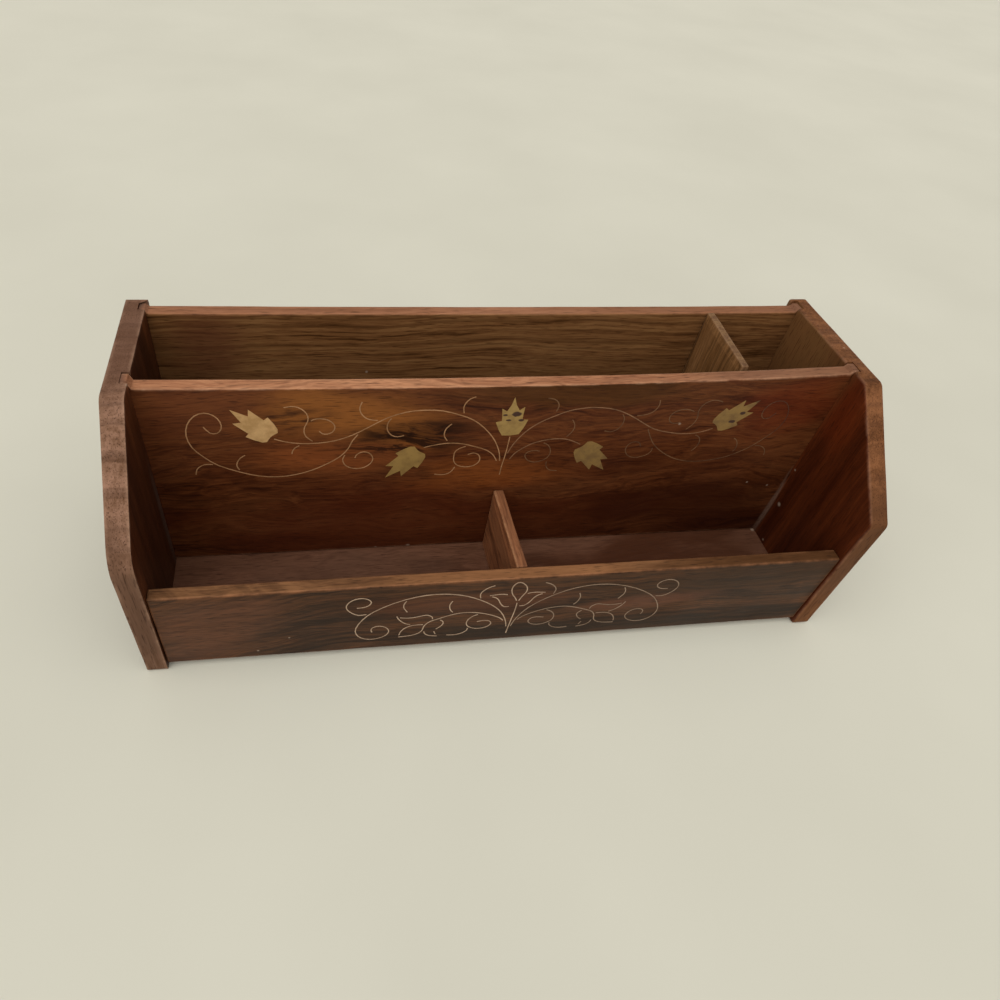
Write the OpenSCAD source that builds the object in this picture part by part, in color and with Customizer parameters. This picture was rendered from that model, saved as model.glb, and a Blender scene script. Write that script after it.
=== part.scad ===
// Open desk organizer of rosewood boards: a divided tray in front, a letter slot and a pen slot behind,
// five-sided side panels that are also the feet, and scrolls of brass inlaid in two of the boards.
// Millimetres. X runs to the right, Y to the back, Z up. The origin is the middle of the footprint.

/* [Overall size] */
// Width over the outer faces of the side panels
width = 305; // [250:1:360]
// Depth of the side panels, front to back
depth = 108.7; // [98:0.1:140]
// Height of the side panels
height = 110.5; // [104:0.5:140]

/* [Side panels] */
// Thickness of the side panels
side_t = 8.5; // [7:0.5:12]
// Length of the level top edge, from the back
side_top_l = 65.2; // [60:0.1:80]
// Height of the upright front edge
side_front_h = 70.5; // [60:0.5:80]
// Radius that rounds the corners of the side panel's outline
side_corner_r = 1.5; // [0.5:0.25:4]
// Radius of the rounded long edges of the boards
edge_r = 1; // [0.4:0.1:1.5]

/* [Joints] */
// Depth of the grooves that house the boards in the side panels
housing_d = 3; // [2:0.25:4]
// Room left at the end of a board in its groove
end_gap = 0.6; // [0.2:0.1:1.2]
// Room left beside a board in its groove
side_gap = 0.1; // [0.05:0.05:0.3]

/* [Bottom board] */
// Thickness of the bottom board
bottom_t = 6.5; // [5:0.25:9]
// Height of its underside over the ground
bottom_z = 4.3; // [2:0.1:10]

/* [Back panel] */
// Thickness of the back panel
back_t = 6.5; // [5:0.25:9]
// How far the back panel stands in from the back edges of the sides
back_inset = 2.7; // [1:0.1:5]
// How far its top lies below the tops of the sides
back_drop = 2; // [0:0.1:10]

/* [Middle panel] */
// Thickness of the middle panel
middle_t = 6.5; // [5:0.25:9]
// Clear depth of the slot between the middle and the back panel
rear_slot_d = 41.5; // [36:0.5:50]
// How far its top lies below the tops of the sides
middle_drop = 1.4; // [0:0.1:10]

/* [Front panel] */
// Thickness of the front panel
front_t = 6; // [5:0.25:9]
// How far the front panel stands in from the front edges of the sides
front_inset = 1.2; // [0:0.1:4]
// Height of its bottom edge over the ground
front_z = 3.4; // [1:0.1:4]
// Height of its top edge over the ground
front_top = 48.3; // [40:0.1:58]

/* [Dividers] */
// Thickness of the divider in the front tray
front_divider_t = 5; // [3:0.25:8]
// How far its middle stands right of the centre
front_divider_x = 2.2; // [-60:0.1:60]
// How far its front end stands to the right of its back end
front_divider_skew = 1; // [-6:0.5:6]
// Thickness of the divider in the rear slot
rear_divider_t = 4; // [3:0.25:8]
// Clear length of the pen slot right of the rear divider
pen_slot_l = 41; // [25:0.5:70]

/* [Panel pins] */
// Diameter of a panel pin
pin_d = 1.4; // [1:0.1:2]
// Length of a panel pin
pin_l = 22; // [18:0.5:28]
// Diameter of a pin's head
pin_head_d = 2.6; // [2.2:0.1:3.4]
// Length of a pin's head
pin_head_l = 1.2; // [0.8:0.1:2]
// Room around a pin in its hole
pin_gap = 0.05; // [0.02:0.01:0.1]
// Distance from the pins to the edges of the board that they hold
pin_edge = 9; // [5:0.5:14]

/* [Brass inlay] */
// Width of the brass wire
wire_w = 0.45; // [0.35:0.05:0.7]
// Depth of the inlaid brass
inlay_d = 1; // [0.6:0.1:1.6]
// Room beside the brass in its groove
inlay_gap = 0.03; // [0.01:0.01:0.06]
// Length of a leaf of the vine
leaf_l = 20.4; // [14:0.2:23]
// How far the vine's foot stands right of the centre
vine_x = 0.6; // [-10:0.1:10]
// Bare wood between the vine's left end and the side panel
vine_left_margin = 15.5; // [12:0.5:40]
// Bare wood between the vine's right end and the side panel
vine_right_margin = 18.6; // [12:0.1:40]
// Bare wood between the vine's highest point and the middle panel's top
vine_drop = 7.8; // [5:0.1:12]
// How far the stem of the front scroll stands right of the centre
scroll_x = 1.1; // [-10:0.1:10]
// Reach of the front scroll's left half from its stem
scroll_left_l = 70.6; // [60:0.1:75]
// Reach of its right half
scroll_right_l = 71.7; // [60:0.1:75]
// Bare wood below the front scroll
scroll_foot_margin = 4.9; // [3:0.1:8]
// Bare wood above it
scroll_top_margin = 2.3; // [2:0.1:8]

/* [Hidden] */

left = -1;
right = 1;
sides = [left, right];
through = 1;
$fn = 32;

rosewood = "#6b3a1e";
rosewood_dark = "#4f2c19";
rosewood_end = "#8a5a3c";
brass = "#b08d4c";
steel = "#8c8c88";

// Faces of the boards
inner_half = width / 2 - side_t;
tongue = housing_d - end_gap;
front_y = -depth / 2 + front_inset;
front_back_y = front_y + front_t;
back_y = depth / 2 - back_inset;
back_front_y = back_y - back_t;
middle_back_y = back_front_y - rear_slot_d;
middle_y = middle_back_y - middle_t;
floor_z = bottom_z + bottom_t;
back_top = height - back_drop;
middle_top = height - middle_drop;
rear_divider_x = inner_half - pen_slot_l - rear_divider_t / 2;

// Places of the panel pins, as [y, z]: two in the end of the front panel and two in the bottom board's
pins = [
    [front_y + front_t / 2, front_z + pin_edge],
    [front_y + front_t / 2, front_top - pin_edge],
    [front_back_y + pin_edge, bottom_z + bottom_t / 2],
    [back_front_y - pin_edge, bottom_z + bottom_t / 2],
];

// Scrolls are drawn on a grid in mm: the first number is the distance from the stem's foot, the second the
// height over it. The halves of the vine were cut by hand and differ, so each has its own lines. Half of
// the front scroll is drawn once and mirrored.
curve_steps = 2;
vine_h = 44.2;
vine_left_k = (inner_half + vine_x - vine_left_margin) / 130.1;
vine_right_k = (inner_half - vine_x - vine_right_margin) / 124.8;
vine_foot = middle_top - vine_drop - vine_h * vine_left_k;
scroll_h = 37.7;
scroll_reach = 71.7;
scroll_k = (front_top - front_z - scroll_foot_margin - scroll_top_margin) / scroll_h;
scroll_foot = front_z + scroll_foot_margin;

stem = [[0, 0], [0.1, 5], [0.5, 10], [0.8, 15], [0.9, 22.2]];
left_main = [[1.3, 8.5], [2, 12.5], [3.6, 17], [6.4, 22.2], [11.2, 28], [16.2, 32.2], [22, 34.9],
    [29, 37.2], [36.5, 37.8], [44, 37], [51.5, 34.2], [58.5, 29.8], [65, 25.8], [72, 23], [79, 21.9],
    [86, 21.9], [92, 23.1], [96.3, 24.8]];
right_main = [[1.5, 12.8], [2.5, 16.3], [4.3, 20.2], [7, 24.4], [10.2, 27.8], [14, 30.6], [18.8, 33.2],
    [23.5, 35.4], [29, 36.6], [34.4, 36.9], [41, 36.2], [46, 34.7], [51, 32.3], [56, 29.3], [60.4, 26.5],
    [65, 24], [71, 22.3], [78, 21.1], [84, 21.2], [89, 22.5], [91.7, 23.7]];
left_sweep = [[63, 25.9], [65.2, 22.6], [66.5, 19.3], [67.9, 16.9], [69.9, 14.5], [72.6, 12.2],
    [76.5, 9.7], [82, 6.8], [89, 4.5], [96.5, 3.6], [104, 4.5], [111.5, 7.2], [119.5, 11.3],
    [124.8, 16.4], [128.4, 21.6], [129.6, 27.5], [128.4, 33.2], [125.2, 37.4], [121.4, 38.8],
    [118, 37.4], [116, 34.2], [116, 30.8], [117.9, 28.5], [120.5, 28.8], [122.6, 31.9]];
right_sweep = [[61.6, 24.3], [62.3, 23], [63.7, 20.5], [65.5, 17.6], [67.9, 14.6], [70.9, 11.9],
    [75.9, 8.4], [81, 5.9], [87, 4.3], [94, 4], [101, 5.1], [106, 6.6], [111, 9.3], [114, 11.4],
    [117, 14.2], [120, 17.8], [123, 22], [124.5, 27.3], [123.4, 33], [120.4, 37], [116.8, 38.2],
    [113.6, 37], [111.7, 34], [111.7, 30.8], [113.5, 28.6], [116.1, 28.8], [118.2, 31.7]];
left_branch = [[2.7, 8.6], [4.6, 12], [7.5, 14.7], [11, 16.4], [14.5, 17.7], [18.5, 19], [23, 19.7],
    [27, 19.6], [31.5, 18.8], [35.4, 17.7]];
right_branch = [[3, 9.3], [4.2, 11.8], [5.9, 13.9], [8.7, 16.2], [11.5, 18], [14.8, 19.2], [18, 19.9],
    [21.4, 20.3], [25.5, 20], [29, 18.8], [33.1, 16.7]];
left_tendrils = [
    [[68.3, 14.8], [69.2, 12.4], [68.5, 9.6], [66.5, 7.7], [63.5, 6.8], [60.2, 7.4], [57.6, 9.5],
        [56.6, 12.2], [57.5, 14.8], [59.4, 16.2], [61.6, 16.1], [63.4, 14.8], [64.1, 13]],
    [[61.5, 42.6], [62.4, 39.9], [62, 37.2], [60.4, 34.9], [58.3, 33.6], [55.2, 33.1]],
    [[49.7, 33.9], [50.8, 32.2], [51.3, 30], [51.1, 27.9], [50.1, 25.9], [48.9, 24.8], [46.8, 24.1],
        [44.1, 24.7]],
    [[91.6, 40.6], [88.8, 41.1], [86.2, 40.6], [83.8, 38.6], [82.6, 36], [82.8, 33.3], [84, 30.7],
        [84.4, 28.1], [83.6, 25.4], [81.2, 23]],
    [[81.5, 33.7], [80.2, 34.4], [77.8, 34.7], [74.8, 33.9], [72.7, 31.9], [72.2, 29.7], [73.2, 27.6],
        [75.3, 26.6], [77.2, 26.9], [78.4, 28.3]],
    [[86.6, 20.8], [88.4, 19.6], [89.4, 18], [89.8, 16.4]],
    [[108.4, 16.4], [110.4, 15], [111.9, 12.6], [112.2, 10.4], [111.4, 8.4]],
    [[121.6, 11.9], [124.2, 12.1], [126.6, 11.1], [128.3, 9.2], [129, 6.4]],
    [[24.8, 30.3], [26.7, 28.1], [27.4, 25.9], [27.2, 23.5], [25.8, 21.2]],
    [[17.5, 17.6], [20, 16.6], [21.7, 14.8], [22, 12.4], [21.7, 9.3], [20.3, 7.1], [18, 5.9], [15.2, 5.6],
        [12.4, 6.4], [10.6, 8.3], [10.4, 10.8], [11.6, 12.9], [13.8, 13.7], [16, 12.8]],
    [[20.9, 5.8], [21.8, 3.7], [23.4, 2], [26.2, 1.3], [29.5, 1.8]],
    [[16.5, 44], [18.7, 43], [20.3, 41], [20.9, 38.6], [20.4, 35.8]],
];
right_tendrils = [
    [[67.2, 13.2], [67.4, 11.6], [66.4, 9.6], [63.9, 8.3], [60.9, 7.7], [57.9, 8.5], [55.9, 10.3],
        [54.8, 13], [55.3, 15.5], [57, 17], [59, 17.1], [60.6, 16], [61.3, 14.3]],
    [[54.3, 31.9], [57, 32.2], [59.7, 33.1], [61.6, 35], [62.3, 37.6], [61.8, 40]],
    [[47.6, 32.8], [48.8, 31.1], [49.2, 29], [48.9, 27], [47.9, 25], [46.6, 24], [44.6, 23.4], [42, 24]],
    [[90.4, 38.3], [87.9, 39.2], [85.2, 39.2], [82.9, 37.9], [81.5, 35.7], [81.3, 33.2], [82, 30.8],
        [82, 28.4], [81.1, 25.9], [79.2, 23.5]],
    [[79.4, 33.4], [77.8, 34.2], [74.9, 34.8], [71.9, 34.2], [69.9, 32.6], [69.3, 30.5], [69.9, 28.6],
        [71.4, 27.4], [73.4, 27.1], [75, 27.7]],
    [[85, 20.1], [86.6, 19.3], [88, 17.7], [88.5, 15.5], [88.2, 13.3], [87.5, 11.8], [86.6, 10.8]],
    [[104.4, 17.6], [106.3, 16.1], [107.6, 13.7], [107.9, 11.3], [107.3, 9.4]],
    [[116.8, 12.5], [119.2, 12.4], [121.6, 11.2], [123.3, 9.2], [124, 6.5]],
    [[26.3, 30.6], [27.8, 28.1], [28.1, 25.8], [27.4, 23.6], [25.9, 21.4]],
    [[16.4, 18.2], [18.6, 16.9], [20.1, 14.6], [20.6, 11.8], [19.7, 9.3], [17.4, 7.6], [14.5, 7],
        [11.7, 7.9], [10, 9.8], [9.5, 11.7], [10.7, 13.3], [13.2, 13.9], [15.6, 13.4]],
    [[20, 7], [20.2, 5], [21.2, 3], [23, 1.6], [26, 1.2]],
    [[13.4, 42.2], [16, 41.7], [18, 40], [18.7, 37.7], [18.2, 35.3]],
];

// Half of the flower at the top of the vine's stem, from its tip down its side to the middle of its foot
flower_half = [[0, 20.3], [0.5, 18.4], [1.1, 16.1], [2.6, 13.3], [4.7, 14.8], [4.4, 10.8], [4.3, 8.3],
    [6.8, 7.9], [5.3, 3.7], [3.6, 0.4], [0, 0]];
flower_foot = [0.9, 22.9];
flower_lean = 4;

// Half of a leaf, as [angle from its axis, distance from its stem] with a length of 1
leaf_half = [[0, 1], [9, 0.66], [17, 0.79], [31, 0.44], [42, 0.49], [58, 0.33], [80, 0.23], [97, 0.16],
    [75, 0.035]];
// Foot and angle of the leaves in the left and in the right half
outer_leaves = [[[97.2, 25.9], 44], [[92.7, 25], 43]];
inner_leaves = [[[37.2, 15.9], -47.5], [[34.1, 15.6], -47]];

front_stem = [[-0.2, 0.2], [0.1, 5.4], [0.5, 11.4], [0.9, 17.3], [0.9, 23]];
front_vine = [[1, 5.5], [1.9, 9.7], [3.8, 14.5], [6.6, 19], [10.5, 23], [15.5, 26.7], [21.5, 30], [28, 32],
    [35, 32.7], [43, 31.7], [52.2, 28.3], [60.5, 23], [65, 17.8], [67.7, 11.8], [67.5, 7.4], [65.4, 4.3],
    [61.9, 2.7], [58, 3.1], [54.9, 4.9], [53.5, 7.6], [54.2, 10.2], [56.2, 12], [58.6, 12.4],
    [60.6, 11.4], [61.2, 9.7], [60.7, 8.1]];
front_branch = [[3.2, 10.4], [5, 12.5], [8, 14.5], [12, 16.4], [16.6, 17.8], [21.6, 18.3], [25.5, 17.7],
    [29, 16.5], [32.3, 15], [35.4, 13.6], [37.3, 11.9], [38.4, 9.7], [38.9, 7], [40.5, 4.8],
    [44, 3.4], [49.1, 3]];
front_buds = [
    [[48.9, 4.3], [48.5, 6.4], [47.3, 8.7], [45.5, 10.3], [43.2, 11.2], [40.8, 11.4], [38.8, 11.3]],
    [[44.4, 12], [46.2, 12.7], [48.3, 14.6], [49.8, 16.8], [50.5, 18.7]],
    [[49.1, 17.6], [46.8, 17.1], [44, 17], [41, 17.6], [38, 18.3], [36.3, 17.6], [35.2, 16.4], [35, 15]],
];
front_tendrils = [
    [[63.4, 21.6], [66.6, 21.4], [69.3, 23.1], [71.2, 25.6], [71.7, 28.2], [70.5, 30.8], [68.2, 32.5],
        [65.4, 33], [62.8, 32], [61.5, 29.9], [62.5, 27.8], [64.7, 26.7], [67.4, 26.5]],
    [[47, 29.2], [47.9, 27.3], [48, 25], [47.2, 23.1], [46.2, 21.4]],
    [[27.5, 27.2], [28.4, 24.9], [28.3, 22.6], [27.7, 20.7], [26.6, 19.2]],
    [[10.7, 36.2], [13, 35.2], [15.2, 33.2], [16.2, 30.8], [15.7, 28.1]],
    [[15.2, 16.3], [17.4, 15.1], [19.1, 12.9], [19.6, 10.4], [19, 8.2], [17.2, 6.5], [14.7, 5.5],
        [11.8, 5.6], [9.4, 6.8], [8.4, 8.8], [9.4, 10.7], [11.9, 11.4], [15, 10.8]],
    [[18.6, 6.2], [18.8, 4.6], [20.6, 2.7], [23.9, 1.6], [27.6, 1.9]],
    [[38, 6], [37.5, 4.2], [35.6, 2.5], [31.9, 1.6]],
    [[33.5, 5.4], [32.7, 3.2]],
    [[31.6, 14], [30.3, 12.8], [30, 11], [31, 9], [32.8, 7.2]],
];
petal_top = [[1.3, 24.6], [2.3, 27.7], [3.4, 30.2], [3.6, 32.4], [2.9, 34.6], [1.2, 36.6], [-0.5, 37.4],
    [-1.8, 36.7], [-2.8, 34.9], [-3, 32.4], [-2.1, 29.3], [-0.7, 27], [0.4, 24.7]];
petal_side = [
    [[4.3, 29.3], [5.9, 29.8], [8.4, 29.9], [12, 29.4]],
    [[10.9, 28.5], [9.2, 27.8], [7.8, 26.3], [6.8, 24.1], [5.6, 22], [4.2, 20.8], [2.3, 20.7]],
];

// Point at the share t of the way from b to c, on the smooth curve through a, b, c and d
function between(a, b, c, d, t) =
    0.5 * (2 * b + (c - a) * t + (2 * a - 5 * b + 4 * c - d) * t * t + (3 * b - a - 3 * c + d) * t * t * t);

// Points of the smooth curve through the points p
function smooth(p) = let (last = len(p) - 1) concat(
    [for (i = [0 : last - 1], s = [0 : curve_steps - 1])
        between(p[max(i - 1, 0)], p[i], p[i + 1], p[min(i + 2, last)], s / curve_steps)],
    [p[last]]);

// Unit vector along the line q at its point i
function heading(q, i) = let (d = q[min(i + 1, len(q) - 1)] - q[max(i - 1, 0)]) d / norm(d);

// The line q, made longer by e at both ends
function lengthened(q, e) = [for (i = [0 : len(q) - 1])
    q[i] + (i == 0 ? -e : i == len(q) - 1 ? e : 0) * heading(q, i)];

// Outline of a band of width w along the line q
function band(q, w) = concat(
    [for (i = [0 : len(q) - 1]) let (h = heading(q, i)) q[i] + w / 2 * [-h.y, h.x]],
    [for (i = [len(q) - 1 : -1 : 0]) let (h = heading(q, i)) q[i] - w / 2 * [-h.y, h.x]]);

// The one of the two halves that belongs to a side
function half_of(halves, side) = halves[side == left ? 0 : 1];

// Points of a drawn line in their half of the vine or of the front scroll
function vine_k(side) = half_of([vine_left_k, vine_right_k], side);
function in_vine(p, side) = [for (q = p) vine_k(side) * [side * q.x, q.y]];
function scroll_l(side) = half_of([scroll_left_l, scroll_right_l], side);
function in_scroll(p, side) = [for (q = p) [side * q.x * scroll_l(side) / scroll_reach, q.y * scroll_k]];

// Arc that rounds the corner b between a and c
function corner(a, b, c, r) =
    let (u = (a - b) / norm(a - b), v = (c - b) / norm(c - b), half = acos(u * v) / 2)
    let (m = b + (u + v) / norm(u + v) * r / sin(half))
    let (p = b + u * r / tan(half) - m, q = b + v * r / tan(half) - m)
    [for (t = [0 : 0.2 : 1]) let (w = p * (1 - t) + q * t) m + w / norm(w) * r];

// Corners of a side panel, seen from the right, as [y, z]
side_corners = [[-depth / 2, 0], [depth / 2, 0], [depth / 2, height], [depth / 2 - side_top_l, height],
    [-depth / 2, side_front_h]];

// Flat piece of brass wire along the smooth curve through p, wider and longer by grow all round
module wire(p, grow) {
    q = smooth(p);
    polygon(band(lengthened(q, grow), wire_w + 2 * grow));
}

module vine_wire(p, side, grow) {
    wire(in_vine(p, side), grow);
}

module scroll_wire(p, side, grow) {
    wire(in_scroll(p, side), grow);
}

// Sheet brass leaf of the vine's left or right half
module leaf(places, side, grow) {
    place = half_of(places, side);
    foot = in_vine([place[0]], side)[0];
    length = leaf_l * vine_k(side) + 2 * grow;
    half = [for (h = leaf_half) h[1] * length * [cos(h[0]), sin(h[0])]];
    translate(foot)
        mirror([side == left ? 1 : 0, 0])
            rotate(place[1])
                translate([-grow, 0])
                    polygon(concat(half, [for (i = [len(half) - 1 : -1 : 1]) [half[i].x, -half[i].y]]));
}

module flower_leaf(grow) {
    k = vine_k(right) + 2 * grow / flower_half[0].y;
    translate(flower_foot * vine_k(right))
        rotate(flower_lean)
            translate([0, -grow])
                polygon(k * concat(flower_half,
                    [for (i = [len(flower_half) - 2 : -1 : 1]) [-flower_half[i].x, flower_half[i].y]]));
}

// The wires of one half of the vine, each group as a list of lines
function main_wires(side) = [half_of([left_main, right_main], side)];
function sweep_wires(side) = [half_of([left_sweep, right_sweep], side)];
function branch_wires(side) = [half_of([left_branch, right_branch], side)];
function tendril_wires(side) = half_of([left_tendrils, right_tendrils], side);

// The flat shapes of the brass in one half of the vine and of the front scroll
module vine_half(side, grow) {
    for (p = concat(main_wires(side), sweep_wires(side), branch_wires(side), tendril_wires(side)))
        vine_wire(p, side, grow);
    leaf(outer_leaves, side, grow);
    leaf(inner_leaves, side, grow);
}

module scroll_half(side, grow) {
    scroll_wire(front_vine, side, grow);
    scroll_wire(front_branch, side, grow);
    for (p = concat(front_buds, front_tendrils, petal_side)) scroll_wire(p, side, grow);
}

// Flat shapes stood up in the face of a board: deep is how far they go in, out how far they stand off
module in_face(x, y, z, deep, out) {
    translate([x, y + deep, z])
        rotate([90, 0, 0])
            linear_extrude(deep + out)
                children();
}

module in_middle_face(out) {
    in_face(vine_x, middle_y, vine_foot, inlay_d, out) children();
}

module in_front_face(out) {
    in_face(scroll_x, front_y, scroll_foot, inlay_d, out) children();
}

// Block from the corner a to the corner b
module block(a, b) {
    translate(a)
        cube(b - a);
}

// Section of a board, t thick and h high, with rounded upper edges
module board_section(t, h) {
    square([t, h - edge_r]);
    translate([edge_r, 0])
        square([t - 2 * edge_r, h]);
    for (y = [edge_r, t - edge_r])
        translate([y, h - edge_r])
            circle(edge_r);
}

// Board along X, from -half to half, with its front face at y and its bottom edge at z
module board(half, y, z, t, h) {
    translate([-half, y, z])
        rotate([90, 0, 90])
            linear_extrude(2 * half)
                board_section(t, h);
}

// Rectangle w by h with rounded corners, about its middle
module rounded(w, h) {
    square([w - 2 * edge_r, h], center = true);
    square([w, h - 2 * edge_r], center = true);
    for (x = [-1, 1], y = [-1, 1])
        translate([x * (w / 2 - edge_r), y * (h / 2 - edge_r)])
            circle(edge_r);
}

// Side panel's slab about x = 0, its outline cut out of rounded bars so that its long edges are rounded
module side_slab() {
    n = len(side_corners);
    c = side_corners;
    outline = [for (i = [0 : n - 1]) each corner(c[(i + n - 1) % n], c[i], c[(i + 1) % n], side_corner_r)];
    intersection() {
        translate([-side_t / 2, 0, 0])
            rotate([90, 0, 90])
                linear_extrude(side_t)
                    polygon(outline);
        linear_extrude(height)
            rounded(side_t, depth);
        translate([0, depth / 2, height / 2])
            rotate([90, 0, 0])
                linear_extrude(depth)
                    rounded(side_t, height);
        slope_bar();
    }
}

// Rounded bar whose upper face is the slope of the side panel
module slope_bar() {
    top = side_corners[3];
    low = side_corners[4];
    rise = atan2(top.y - low.y, top.x - low.x);
    reach = 2 * (depth + height);
    translate([0, low.x, low.y])
        rotate([rise, 0, 0])
            translate([0, reach / 2, -reach / 2])
                rotate([90, 0, 0])
                    linear_extrude(reach)
                        rounded(side_t, reach);
}

// Panel pins of one side, grown all round by grow and standing out of the side panel by out
module pin_shapes(side, grow, out) {
    for (p = pins)
        translate([side * (width / 2 + out), p[0], p[1]])
            rotate([0, -side * 90, 0]) {
                cylinder(h = out + pin_l + grow, r = pin_d / 2 + grow);
                cylinder(h = out + pin_head_l + grow, r = pin_head_d / 2 + grow);
            }
}

module pin_holes(side) {
    pin_shapes(side, pin_gap, through);
}

module side_panel(side) {
    inner = side * inner_half;
    end = inner + side * housing_d;
    cut = inner - side * through;
    x0 = min(end, cut);
    x1 = max(end, cut);
    color(rosewood_end)
        difference() {
            translate([side * (width - side_t) / 2, 0, 0])
                side_slab();
            block([x0, back_front_y - side_gap, bottom_z - side_gap],
                [x1, back_y + side_gap, height + through]);
            block([x0, middle_y - side_gap, floor_z], [x1, middle_back_y + side_gap, height + through]);
            block([x0, front_back_y, bottom_z - side_gap], [x1, back_front_y, floor_z + side_gap]);
            pin_holes(side);
        }
}

module left_side() {
    side_panel(left);
}

module right_side() {
    side_panel(right);
}

module back_panel() {
    color(rosewood)
        board(inner_half + tongue, back_front_y, bottom_z, back_t, back_top - bottom_z);
}

module middle_panel() {
    color(rosewood)
        difference() {
            board(inner_half + tongue, middle_y, floor_z, middle_t, middle_top - floor_z);
            in_middle_face(through) {
                vine_wire(stem, right, inlay_gap);
                flower_leaf(inlay_gap);
                for (side = sides) vine_half(side, inlay_gap);
            }
        }
}

module front_panel() {
    color(rosewood_dark)
        difference() {
            board(inner_half, front_y, front_z, front_t, front_top - front_z);
            in_front_face(through) {
                scroll_wire(front_stem, right, inlay_gap);
                scroll_wire(petal_top, right, inlay_gap);
                for (side = sides) scroll_half(side, inlay_gap);
            }
            for (side = sides) pin_holes(side);
        }
}

module bottom_board() {
    color(rosewood_dark)
        difference() {
            block([-inner_half - tongue, front_back_y, bottom_z],
                [inner_half + tongue, back_front_y, floor_z]);
            for (side = sides) pin_holes(side);
        }
}

// Divider board across the organizer, its middle at x, cut to length between the faces y0 and y1
module divider(x, t, y0, y1, top, skew) {
    l = y1 - y0;
    reach = t + abs(skew);
    intersection() {
        translate([x, (y0 + y1) / 2, floor_z])
            rotate([90, 0, atan2(skew, l)])
                translate([-t / 2, 0, -l / 2 - reach])
                    linear_extrude(l + 2 * reach)
                        board_section(t, top - floor_z);
        block([x - reach, y0, floor_z - through], [x + reach, y1, top + through]);
    }
}

module front_divider() {
    color(rosewood_end)
        divider(front_divider_x, front_divider_t, front_back_y, middle_y, front_top, front_divider_skew);
}

module rear_divider() {
    color(rosewood_end)
        divider(rear_divider_x, rear_divider_t, middle_back_y, back_front_y, middle_top, 0);
}

module left_pins() {
    color(steel)
        pin_shapes(left, 0, 0);
}

module right_pins() {
    color(steel)
        pin_shapes(right, 0, 0);
}

module vine_brass() {
    color(brass)
        in_middle_face(0)
            children();
}

module scroll_brass() {
    color(brass)
        in_front_face(0)
            children();
}

module vine_stem() {
    vine_brass() vine_wire(stem, right, 0);
}

module vine_flower() {
    vine_brass() flower_leaf(0);
}

module vine_wires(list, side) {
    for (p = list) vine_brass() vine_wire(p, side, 0);
}

module vine_leaf(places, side) {
    vine_brass() leaf(places, side, 0);
}

module front_stem() {
    scroll_brass() scroll_wire(front_stem, right, 0);
}

module front_flower() {
    scroll_brass() scroll_wire(petal_top, right, 0);
    for (side = sides, p = petal_side) scroll_brass() scroll_wire(p, side, 0);
}

module front_scroll(p, side) {
    scroll_brass() scroll_wire(p, side, 0);
}

module front_group(list, side) {
    for (p = list) front_scroll(p, side);
}

left_side();
right_side();
back_panel();
middle_panel();
front_panel();
bottom_board();
front_divider();
rear_divider();
left_pins();
right_pins();
vine_stem();
vine_flower();
vine_wires(main_wires(left), left);  // left_main_vine
vine_wires(main_wires(right), right);  // right_main_vine
vine_wires(sweep_wires(left), left);  // left_sweep_vine
vine_wires(sweep_wires(right), right);  // right_sweep_vine
vine_wires(branch_wires(left), left);  // left_branch_vine
vine_wires(branch_wires(right), right);  // right_branch_vine
vine_leaf(outer_leaves, left);  // left_outer_leaf
vine_leaf(outer_leaves, right);  // right_outer_leaf
vine_leaf(inner_leaves, left);  // left_inner_leaf
vine_leaf(inner_leaves, right);  // right_inner_leaf
vine_wires(tendril_wires(left), left);  // left_tendrils
vine_wires(tendril_wires(right), right);  // right_tendrils
front_stem();
front_flower();
front_scroll(front_vine, left);  // front_left_vine
front_scroll(front_vine, right);  // front_right_vine
front_scroll(front_branch, left);  // front_left_branch
front_scroll(front_branch, right);  // front_right_branch
front_group(front_buds, left);  // front_left_buds
front_group(front_buds, right);  // front_right_buds
front_group(front_tendrils, left);  // front_left_tendrils
front_group(front_tendrils, right);  // front_right_tendrils
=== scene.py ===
"""Looks of an open rosewood desk organizer with brass inlay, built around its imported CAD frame."""
import logging
import math
from dataclasses import dataclass
from enum import Enum
from typing import Any, Optional, Sequence

import bmesh
import bpy
from mathutils import Matrix, Vector, noise


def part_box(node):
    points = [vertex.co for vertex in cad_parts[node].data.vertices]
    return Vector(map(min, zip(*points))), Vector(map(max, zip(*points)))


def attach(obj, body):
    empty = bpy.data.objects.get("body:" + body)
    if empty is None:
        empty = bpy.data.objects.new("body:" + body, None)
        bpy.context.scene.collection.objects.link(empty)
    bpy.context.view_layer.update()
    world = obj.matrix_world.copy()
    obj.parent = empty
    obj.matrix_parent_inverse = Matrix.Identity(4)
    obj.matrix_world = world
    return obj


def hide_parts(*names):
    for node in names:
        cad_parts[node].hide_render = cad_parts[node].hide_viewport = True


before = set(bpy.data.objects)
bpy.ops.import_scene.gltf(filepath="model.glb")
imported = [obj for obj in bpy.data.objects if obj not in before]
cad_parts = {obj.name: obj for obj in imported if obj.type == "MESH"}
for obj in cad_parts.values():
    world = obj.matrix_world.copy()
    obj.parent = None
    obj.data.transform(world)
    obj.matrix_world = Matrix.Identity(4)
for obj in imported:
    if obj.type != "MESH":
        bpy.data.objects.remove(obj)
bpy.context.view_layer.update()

# Metres in a millimetre, and millimetres in a metre.
MM = 0.001
PER_METRE = 1000.0
BODY = "root"
# Name of the attribute that keeps each point's place before wear.
PLANED = "planed"
# Distances in metres under which two places count as one.
TOUCH = 1e-6
NEAR = 1e-5
# Faces across a rounded arris and round a corner of an outline.
EDGE_SEGMENTS = 3
CORNER_SEGMENTS = 5
# Least angle between two faces whose edge is sharp, in degrees.
SHARP_DEG = 30.0
# How far a side panel's outline may lie inside its box and still count as straight, in mm.
RIM_ROOM = 0.6
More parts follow.
